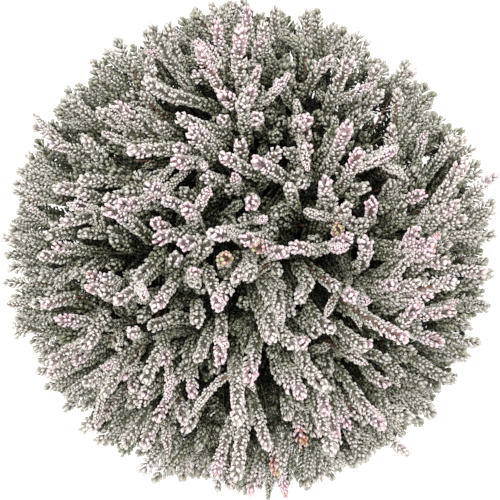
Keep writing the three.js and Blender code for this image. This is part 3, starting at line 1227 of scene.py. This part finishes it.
def map_place(plan):
    """The two numbers of the piece's own map: along the leaf or lump, and its tone."""
    place = plan.node("ShaderNodeUVMap", {"uv_map": BAKE_MAP})
    return plan.node("ShaderNodeSeparateXYZ", {}, {0: place}, ("X", "Y"))


def leaf_material(colours):
    """Downy silver-green scale leaves: dull at the base, pale at the tip and along the keel, the keel partly
    a painted highlight, with a palette of tones.
    """
    plan, shader, material = material_plan("downy_leaf")
    along, tone = map_place(plan)
    palette = plan.ramp(
        tone,
        (0.04, colours.withered_and_shaded),
        (0.2, colours.deep_olive),
        (0.27, colours.moss),
        (0.34, colours.olive),
        (0.41, colours.sage),
        (0.48, colours.grey_green),
        (0.63, colours.silver),
        (0.74, colours.blush),
        (0.84, colours.pink),
        (0.91, colours.coral),
        (0.96, colours.fresh_green),
    )
    # Paler towards the tip and along the keel: the downy tip is real, the paler keel is partly a painted
    # highlight.
    paleness_and_keel_highlight = plan.ramp(
        along,
        (0.0, (0.7, 0.69, 0.64, 1)),
        (0.4, (0.9, 0.9, 0.86, 1)),
        (0.66, (0.94, 0.94, 0.92, 1)),
        (0.85, (1, 1, 1, 1)),
    )
    body = plan.mixed(1.0, palette, paleness_and_keel_highlight, "MULTIPLY")
    # The white down mixed in towards the tips also whitens the keel, partly as a painted highlight.
    down = plan.spread(along, start=0.6, end=0.97, high=0.4) * plan.spread(tone, start=0.15, end=0.5)
    downy_with_keel_highlight = plan.mixed(down, body, tuple(colours.down))
    feed(plan, shader, Base_Color=downy_with_keel_highlight, Roughness=0.82 - along * 0.25)
    shader.inputs["Specular IOR Level"].default_value = 0.35
    return material


def bark_material(colours):
    """Woody stems: dark grey-brown bark when old, pinkish brown when young, with rings and flecks."""
    plan, shader, material = material_plan("heather_bark")
    grain, age = map_place(plan)
    bark = plan.ramp(
        age,
        (0.0, colours.old_bark),
        (0.4, colours.young_bark),
        (0.7, colours.pink_stem),
        (0.8, colours.pink_stem),
        (0.92, colours.olive),
    )
    flecks = plan.noise(plan.vector(grain * 6, age * 40, 0), scale=1.0, detail=3.0)
    flecked = plan.ramp(flecks, (0.3, (0.45, 0.42, 0.4, 1)), (0.7, (1, 1, 1, 1)))
    body = plan.mixed(1.0, bark, flecked, "MULTIPLY")
    feed(plan, shader, Base_Color=body, Roughness=0.7 + flecks * 0.25)
    return material


def pot_material(colours):
    """Matte moulded plastic with a faint mottle, and dust and scuffs towards the foot and the rim."""
    plan, shader, material = material_plan("matte_pot")
    place = plan.node("ShaderNodeTexCoord", output="Object")
    height = plan.node("ShaderNodeSeparateXYZ", {}, {0: place}, "Z")
    mottle = plan.noise(place, scale=60.0, detail=5.0)
    scuffs = plan.noise(place, scale=240.0, detail=6.0)
    body = plan.mixed(mottle, tuple(colours.pot_dark), tuple(colours.pot_light))
    low = plan.spread(height, start=0.022, end=0.0, high=0.8)
    high = plan.spread(height, start=0.084, end=0.09, high=0.55)
    dust = plan.spread(scuffs * (low + high + 0.15), start=0.3, end=0.62)
    dusty = plan.mixed(dust * 0.5, body, tuple(colours.dust))
    roughness = 0.5 + mottle * 0.15 + dust * 0.25
    bump = plan.bump(scuffs, strength=0.25, distance=0.0003)
    feed(plan, shader, Base_Color=dusty, Roughness=roughness, Normal=bump)
    return material


def compost_material(colours):
    """Dark fibrous compost with paler flecks and a rough surface."""
    plan, shader, material = material_plan("damp_compost")
    place = plan.node("ShaderNodeTexCoord", output="Object")
    clumps = plan.noise(place, scale=220.0, detail=6.0)
    grains = plan.node("ShaderNodeTexVoronoi", {}, {"Vector": place, "Scale": 900.0})
    body = plan.mixed(clumps, tuple(colours.compost_dark), tuple(colours.compost_light))
    fleck = plan.spread(grains, start=0.22, end=0.05, high=0.5)
    flecked = plan.mixed(fleck, body, tuple(colours.compost_fleck))
    bump = plan.bump(clumps * 0.7 + grains * 0.3, strength=0.8, distance=0.001)
    feed(plan, shader, Base_Color=flecked, Roughness=0.95 - clumps * 0.1, Normal=bump)
    return material


def crumb_material(colours):
    """Loose crumbs of compost, from nearly black peat to brown fibre and a few grey flecks, each with a
    painted shade, darker underneath and lighter on top.
    """
    plan, shader, material = material_plan("compost_crumb")
    along, tone = map_place(plan)
    palette = plan.ramp(
        tone,
        (0.0, colours.compost_dark),
        (0.6, colours.compost_light),
        (0.9, colours.compost_fleck),
    )
    # Painted shade: each crumb darker on the underside of its own frame and lighter on top, turned with the
    # crumb.
    shade = plan.spread(along, start=0.0, end=1.0, low=0.5, high=1.15)
    grain = plan.noise(plan.vector(along * 9, tone * 70, 0), scale=1.0, detail=2.0)
    body = plan.mixed(1.0, palette, plan.vector(shade, shade, shade), "MULTIPLY")
    feed(plan, shader, Base_Color=body, Roughness=0.8 + grain * 0.2)
    return material


def floor_material(colours):
    """A plain pale floor with a very faint mottle."""
    plan, shader, material = material_plan("pale_floor")
    mottle = plan.noise(plan.node("ShaderNodeTexCoord", output="Object"), scale=30.0, detail=2.0)
    white = tuple(colours.floor)
    shade = tuple(value * 0.985 for value in white[:3]) + (1.0,)
    feed(plan, shader, Base_Color=plan.mixed(mottle, white, shade))
    shader.inputs["Roughness"].default_value = 0.9
    return material


# Settings


def size_property(name, description, default):
    """A length setting whose default is given in millimetres."""
    return FloatProperty(name=name, description=description, default=default * MM, unit="LENGTH", precision=5)


def colour_property(name, description, *screen):
    """A colour setting whose default is given in screen values from 0 to 255."""
    return FloatVectorProperty(
        name=name, description=description, subtype="COLOR", size=4, min=0, max=1, default=colour(*screen))


class HeatherLeafSizes(bpy.types.PropertyGroup):
    """Sizes of the scale leaves and how they are scattered."""

    internode: size_property("Internode", "Distance between one pair of leaves and the next", 0.6)
    leaf_reach: size_property("Leaf reach", "How far a leaf's tip stands from the shoot's middle", 1.65)
    leaf_rise: size_property("Leaf rise", "How far a leaf's tip stands ahead of its base", 1.7)
    leaf_width: size_property("Leaf width", "Widest part of a leaf", 1.15)
    leaf_depth: size_property("Leaf depth", "Thickness of a leaf from its inner face to its keel", 0.8)
    size_scatter: FloatProperty(
        name="Size scatter", description="Largest change of a leaf's size", default=0.12, min=0, max=0.5)
    turn_scatter: FloatProperty(
        name="Turn scatter", description="Largest turn out of a leaf's row", default=0.35, subtype="ANGLE")
    lean_scatter: FloatProperty(
        name="Lean scatter", description="Largest change of a leaf's lean", default=0.13, subtype="ANGLE")
    tone_scatter: FloatProperty(
        name="Tone scatter", description="Largest change of a leaf's place in the palette", default=0.06)
    seed: IntProperty(name="Seed", description="Start of the random draws for the leaves", default=11)


class HeatherColours(bpy.types.PropertyGroup):
    """Colours of the plant, the compost, the pot and the floor."""

    fresh_green: colour_property("Fresh green", "The few yellow-green young leaves", 158, 164, 92)
    withered_and_shaded: colour_property("Withered", "Leaves that have died inside the plant", 11, 11, 6)
    # Near black: dead leaves inside the plant, and also painted shade for the deep gaps in the crown.
    deep_olive: colour_property("Deep olive", "The oldest living leaves", 46, 47, 27)
    moss: colour_property("Moss", "Leaves that have stayed greener low down", 82, 87, 53)
    olive: colour_property("Olive", "Leaves low on the shoots", 122, 120, 98)
    sage: colour_property("Sage", "Leaves that have stayed greener half way up", 143, 148, 117)
    grey_green: colour_property("Grey-green", "Leaves half way up the shoots", 167, 164, 151)
    silver: colour_property("Silver", "Leaves near the tips", 203, 198, 191)
    blush: colour_property("Blush", "Pale leaves with a first touch of pink", 225, 211, 213)
    pink: colour_property("Pink", "Leaves at the pink tips", 236, 200, 214)
    coral: colour_property("Coral", "The few coral leaf tips", 214, 142, 122)
    down: colour_property("Down", "The white down on the leaf tips", 246, 243, 240)
    old_bark: colour_property("Old bark", "Bark at the foot of the stems", 26, 21, 17)
    young_bark: colour_property("Young bark", "Bark of the thin stems", 42, 34, 26)
    pink_stem: colour_property("Pink stem", "Stems inside the leafy shoots", 158, 112, 92)
    pot_dark: colour_property("Pot, dark", "Darker tone of the pot", 84, 54, 47)
    pot_light: colour_property("Pot, light", "Lighter tone of the pot", 100, 68, 58)
    dust: colour_property("Dust", "Dry compost dust on the pot", 148, 128, 112)
    compost_dark: colour_property("Compost, dark", "Damp peat", 20, 17, 16)
    compost_light: colour_property("Compost, light", "Brown fibre in the compost", 62, 52, 47)
    compost_fleck: colour_property("Compost fleck", "Paler bits in the compost", 112, 100, 92)
    floor: colour_property("Floor", "The pale floor", 250, 250, 249)


class HeatherStage(bpy.types.PropertyGroup):
    """Sizes and strengths of the stage."""

    camera_height: size_property("Camera height", "Height of the camera above the floor", 450)
    lens: FloatProperty(name="Lens", description="Focal length", default=77.5, subtype="DISTANCE_CAMERA")
    main_light: FloatProperty(name="Main light", description="Power of the overhead light", default=15, min=0)
    fill_light: FloatProperty(name="Fill light", description="Strength of the even light", default=1.0, min=0)


# Operators


class HEATHER_OT_leafy_branches(bpy.types.Operator):
    """Grows the scale leaves of every branch, in place of the branch's plain solid"""

    bl_idname = "heather.leafy_branches"
    bl_label = "Leafy branches"

    def execute(self, context):
        sizes = context.scene.heather_leaf_sizes
        material = leaf_material(context.scene.heather_colours)
        tree = leafy_shoots_tree()
        leaf = add_object("scale_leaf", leaf_mesh(sizes))
        for index, (lines, _) in enumerate(all_branch_lines()):
            name = f"leaves_{index + 1:02d}"
            piece = grow(name, lines_mesh(name, lines), tree, {
                "Leaf": leaf,
                "Internode": sizes.internode,
                "Leaf size": LEAF_SCALE,
                "Axil leaf size": AXIL_LEAF_SIZE,
                "Axil leaf share": AXIL_LEAF_SHARE,
                "Size scatter": sizes.size_scatter,
                "Turn scatter": sizes.turn_scatter,
                "Lean scatter": sizes.lean_scatter,
                "Tone scatter": sizes.tone_scatter,
                "Seed": sizes.seed + index * 50,
                "Material": material,
            })
            dress(piece, f"branch_{index + 1:02d}", slot="foliage")
        bpy.data.objects.remove(leaf)
        return {"FINISHED"}


class HEATHER_OT_woody_stems(bpy.types.Operator):
    """Grows the woody stems and the cores of the leafy shoots"""

    bl_idname = "heather.woody_stems"
    bl_label = "Woody stems"

    def execute(self, context):
        material = bark_material(context.scene.heather_colours)
        lines = [line for _, woody in all_branch_lines() for line in woody]
        piece = grow("woody_stems", lines_mesh("woody_stems", lines), woody_stems_tree(), {
            "Sides": STEM_SIDES,
            "Material": material,
        })
        dress(piece, *(f"branch_{index + 1:02d}" for index in range(STEM_COUNT)))
        return {"FINISHED"}


class HEATHER_OT_pot(bpy.types.Operator):
    """Turns the pot with its rim band, rolled lip and drainage holes"""

    bl_idname = "heather.pot"
    bl_label = "Pot"

    def execute(self, context):
        mesh = turned_mesh("nursery_pot", pot_profile(), POT_SEGMENTS)
        point_faces_outwards(mesh)
        piece = add_object("nursery_pot", mesh)
        pierce_pot(piece)
        piece.data.materials.clear()
        piece.data.materials.append(pot_material(context.scene.heather_colours))
        piece.data.shade_smooth()
        piece.data.set_sharp_from_angle(angle=SHARP_EDGE)
        dress(piece, "pot", slot="pot_plastic")
        return {"FINISHED"}


class HEATHER_OT_compost(bpy.types.Operator):
    """Fills the pot with compost and scatters loose crumbs on it"""

    bl_idname = "heather.compost"
    bl_label = "Compost"

    def execute(self, context):
        colours = context.scene.heather_colours
        mesh = compost_mesh()
        mesh.materials.append(compost_material(colours))
        mesh.shade_smooth()
        body = add_object("compost", mesh)
        dress(body, "soil", slot="compost")
        kinds = bpy.data.collections.new("crumb_kinds")
        for kind, crumb in enumerate(crumb_meshes()):
            kinds.objects.link(bpy.data.objects.new(f"crumb_{kind}", crumb))
        top = mesh.copy()
        shape = bmesh.new()
        shape.from_mesh(top)
        lowest = (SOIL_TOP - CRUMB_LAND_DEPTH) * MM
        low = [face for face in shape.faces if face.calc_center_median().z < lowest]
        bmesh.ops.delete(shape, geom=low, context="FACES")
        shape.to_mesh(top)
        shape.free()
        piece = grow("compost_crumbs", top, scattered_crumbs_tree(), {
            "Crumbs": kinds,
            "Density": CRUMBS_PER_SQUARE_METRE,
            "Smallest": SMALLEST_CRUMB * MM,
            "Largest": LARGEST_CRUMB * MM,
            "Seed": CRUMB_SEED,
            "Material": crumb_material(colours),
        })
        dress(piece, "soil", slot="compost")
        for item in list(kinds.objects):
            bpy.data.objects.remove(item)
        bpy.data.collections.remove(kinds)
        return {"FINISHED"}


class HEATHER_OT_stage(bpy.types.Operator):
    """Lays the floor, hangs the lights and places the camera straight above the plant"""

    bl_idname = "heather.stage"
    bl_label = "Stage"

    def execute(self, context):
        stage = context.scene.heather_stage
        self.lay_floor(context)
        self.hang_lights(context, stage)
        data = bpy.data.cameras.new("camera")
        data.lens = stage.lens
        camera = add_object("camera", data)
        camera.location = (0, 0, stage.camera_height)
        context.scene.camera = camera
        context.scene.view_settings.view_transform = "Standard"
        return {"FINISHED"}

    def lay_floor(self, context):
        """Lays a wide pale floor at the pot's foot."""
        mesh = bpy.data.meshes.new("floor")
        corners = [(x * FLOOR_HALF, y * FLOOR_HALF, 0) for x, y in ((-1, -1), (1, -1), (1, 1), (-1, 1))]
        mesh.from_pydata(corners, [], [(0, 1, 2, 3)])
        mesh.materials.append(floor_material(context.scene.heather_colours))
        add_object("floor", mesh)

    def hang_lights(self, context, stage):
        """Hangs one soft lamp above the plant and puts an even white light all round it."""
        data = bpy.data.lights.new("overhead", "AREA")
        data.energy = stage.main_light
        data.size = LAMP_SIZE
        light = add_object("overhead", data)
        light.location = LAMP_PLACE
        aim = Vector(LAMP_AIM) - light.location
        light.rotation_euler = aim.to_track_quat("-Z", "Y").to_euler()
        world = bpy.data.worlds.new("even_light")
        world.use_nodes = True
        background = world.node_tree.nodes["Background"]
        background.inputs["Color"].default_value = (1, 1, 1, 1)
        background.inputs["Strength"].default_value = stage.fill_light
        context.scene.world = world


class HEATHER_PT_sidebar(bpy.types.Panel):
    """The heather's settings and steps"""

    bl_label = "Potted heather"
    bl_space_type = "VIEW_3D"
    bl_region_type = "UI"
    bl_category = "Heather"

    def draw(self, context):
        layout = self.layout
        for group in (context.scene.heather_leaf_sizes, context.scene.heather_colours,
                      context.scene.heather_stage):
            for name in group.__annotations__:
                layout.prop(group, name)
        for step in STEPS:
            layout.operator(step.bl_idname)


STEPS = (
    HEATHER_OT_leafy_branches,
    HEATHER_OT_woody_stems,
    HEATHER_OT_pot,
    HEATHER_OT_compost,
    HEATHER_OT_stage,
)
SETTINGS = {
    "heather_leaf_sizes": HeatherLeafSizes,
    "heather_colours": HeatherColours,
    "heather_stage": HeatherStage,
}


def register():
    """Registers the settings, the steps and the panel with Blender."""
    for name, group in SETTINGS.items():
        bpy.utils.register_class(group)
        setattr(bpy.types.Scene, name, PointerProperty(type=group))
    for step in STEPS:
        bpy.utils.register_class(step)
    bpy.utils.register_class(HEATHER_PT_sidebar)


def unregister():
    """Takes the panel, the steps and the settings away again."""
    bpy.utils.unregister_class(HEATHER_PT_sidebar)
    for step in reversed(STEPS):
        bpy.utils.unregister_class(step)
    for name, group in SETTINGS.items():
        delattr(bpy.types.Scene, name)
        bpy.utils.unregister_class(group)


def main():
    """Grows the whole heather."""
    register()
    bpy.ops.heather.leafy_branches()
    bpy.ops.heather.woody_stems()
    bpy.ops.heather.pot()
    bpy.ops.heather.compost()
    bpy.ops.heather.stage()


if __name__ == "__main__":
    main()
